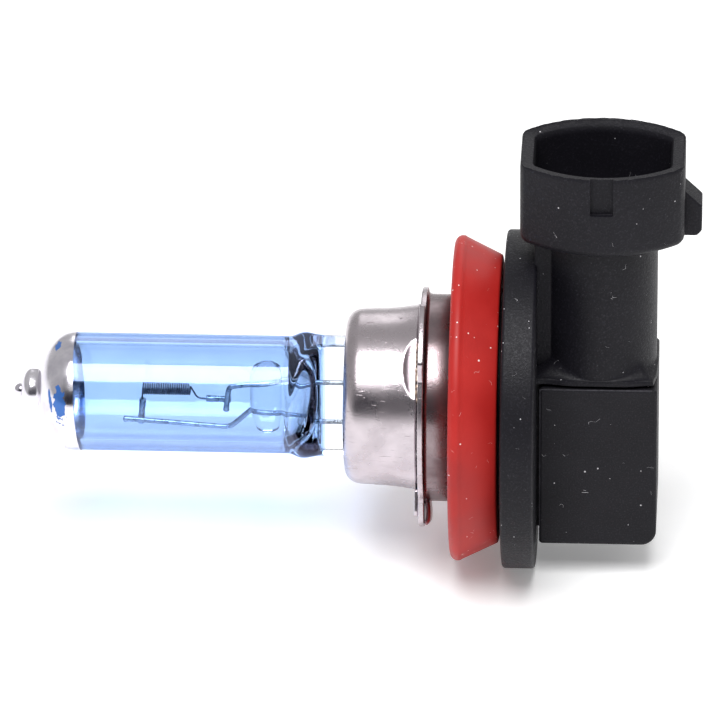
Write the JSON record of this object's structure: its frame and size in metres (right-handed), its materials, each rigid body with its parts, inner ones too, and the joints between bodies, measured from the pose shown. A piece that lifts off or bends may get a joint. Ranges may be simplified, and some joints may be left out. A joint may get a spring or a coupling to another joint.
{
  "type": "headlight bulb",
  "caption": "Right-angle halogen headlight bulb: blue-coated glass with a silvered tip, steel cup and locating ring, red seal and a black plastic connector base.",
  "frame": {"origin": "on the bulb's axis, in the plane of the locating ring's bearing face", "axes": "+X along the bulb's axis from the glass tip towards the base, +Z out of the connector socket"},
  "size_m": [0.0669, 0.033, 0.0439],
  "materials": {
    "clear_glass": "clear polished",
    "blue_coat": "clear blue layer",
    "silver_coat": "fine-grained mirror layer",
    "tungsten": "drawn wire",
    "lead_wire": "drawn wire",
    "steel": "satin, pressed",
    "red_silicone": "satin, moulded",
    "black_plastic": "fine spark-eroded grain",
    "tinned_brass": "tin plated",
    "potting": "cast compound"
  },
  "bodies": {
    "root": {"glass_envelope": "clear_glass", "blue_filter_coat": "blue_coat", "silver_tip_coat": "silver_coat", "filament": "tungsten", "front_leg_sleeve": "lead_wire", "rear_leg_sleeve": "lead_wire", "long_lead_wire": "lead_wire", "short_lead_wire": "lead_wire", "glass_bridge": "clear_glass", "pinch_clamp": "steel", "mounting_cup": "steel", "locating_ring": "steel", "ring_collar": "steel", "seal_ring": "red_silicone", "base_body": "black_plastic", "terminal_cover": "black_plastic", "upper_terminal": "tinned_brass", "lower_terminal": "tinned_brass", "potting_compound": "potting"}
  },
  "joints": []
}
